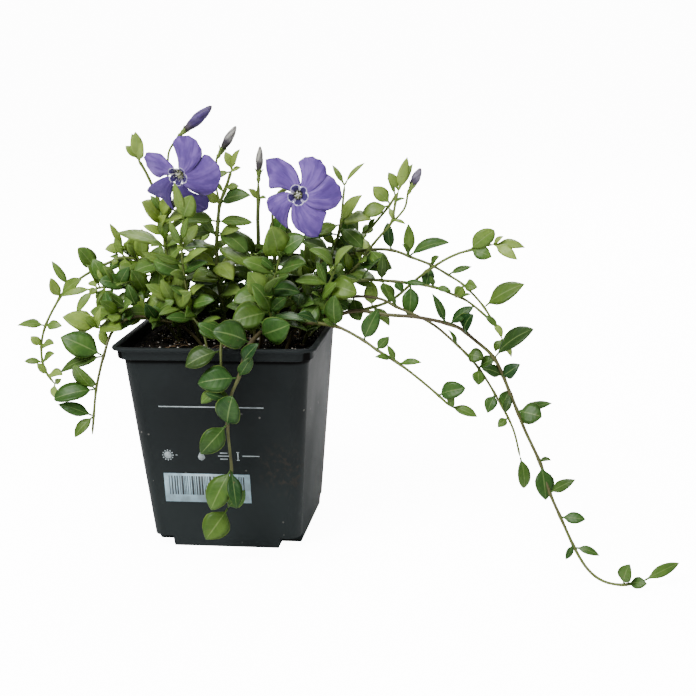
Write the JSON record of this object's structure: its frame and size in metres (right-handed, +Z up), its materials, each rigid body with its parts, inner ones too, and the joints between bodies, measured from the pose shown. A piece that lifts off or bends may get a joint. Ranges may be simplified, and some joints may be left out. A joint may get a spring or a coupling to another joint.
{
  "type": "potted lesser periwinkle",
  "caption": "Trailing evergreen with small glossy leaves, violet-blue open flowers and slim buds, rooted in dark soil in a tapered square nursery pot whose long runners hang to the floor.",
  "frame": {"origin": "centre of the pot's flat foot, at floor level", "axes": "+Z up, X along the pot's front with the long runners towards +X, -Y to the front"},
  "size_m": [0.2962, 0.1407, 0.1929],
  "materials": {
    "pot": "fine-grained black nursery plastic",
    "soil": "damp crumbly peat",
    "foliage": "glossy green leaf on slim green stem",
    "petals": "soft violet-blue petal",
    "buds": "furled violet-grey petal"
  },
  "bodies": {
    "root": {"back_shoot_left": "foliage", "back_shoot_middle": "foliage", "back_shoot_right": "foliage", "back_trail_left": "foliage", "back_trail_middle": "foliage", "back_trail_right": "foliage", "bud_pale": "buds", "bud_right": "buds", "bud_second": "buds", "bud_small": "buds", "bud_stalk": "foliage", "bud_tallest": "buds", "cascade_front": "foliage", "cascade_short": "foliage", "flower_front": "petals", "flower_left": "petals", "flower_stalk": "foliage", "pot": "pot", "runner_arching": "foliage", "runner_green": "foliage", "runner_long": "foliage", "runner_low": "foliage", "runner_pale": "foliage", "runner_upper": "foliage", "shoot_centre_right": "foliage", "shoot_left": "foliage", "shoot_middle": "foliage", "shoot_right": "foliage", "shoot_right_tall": "foliage", "soil": "soil", "spray_left": "foliage", "spray_left_back": "foliage", "spray_left_upper": "foliage", "sprig_bright": "foliage", "sprig_front": "foliage", "trail_left_far": "foliage", "trail_left_near": "foliage", "tuft_back_left": "foliage", "tuft_back_middle": "foliage", "tuft_centre": "foliage", "tuft_front": "foliage", "tuft_right": "foliage"}
  },
  "joints": []
}
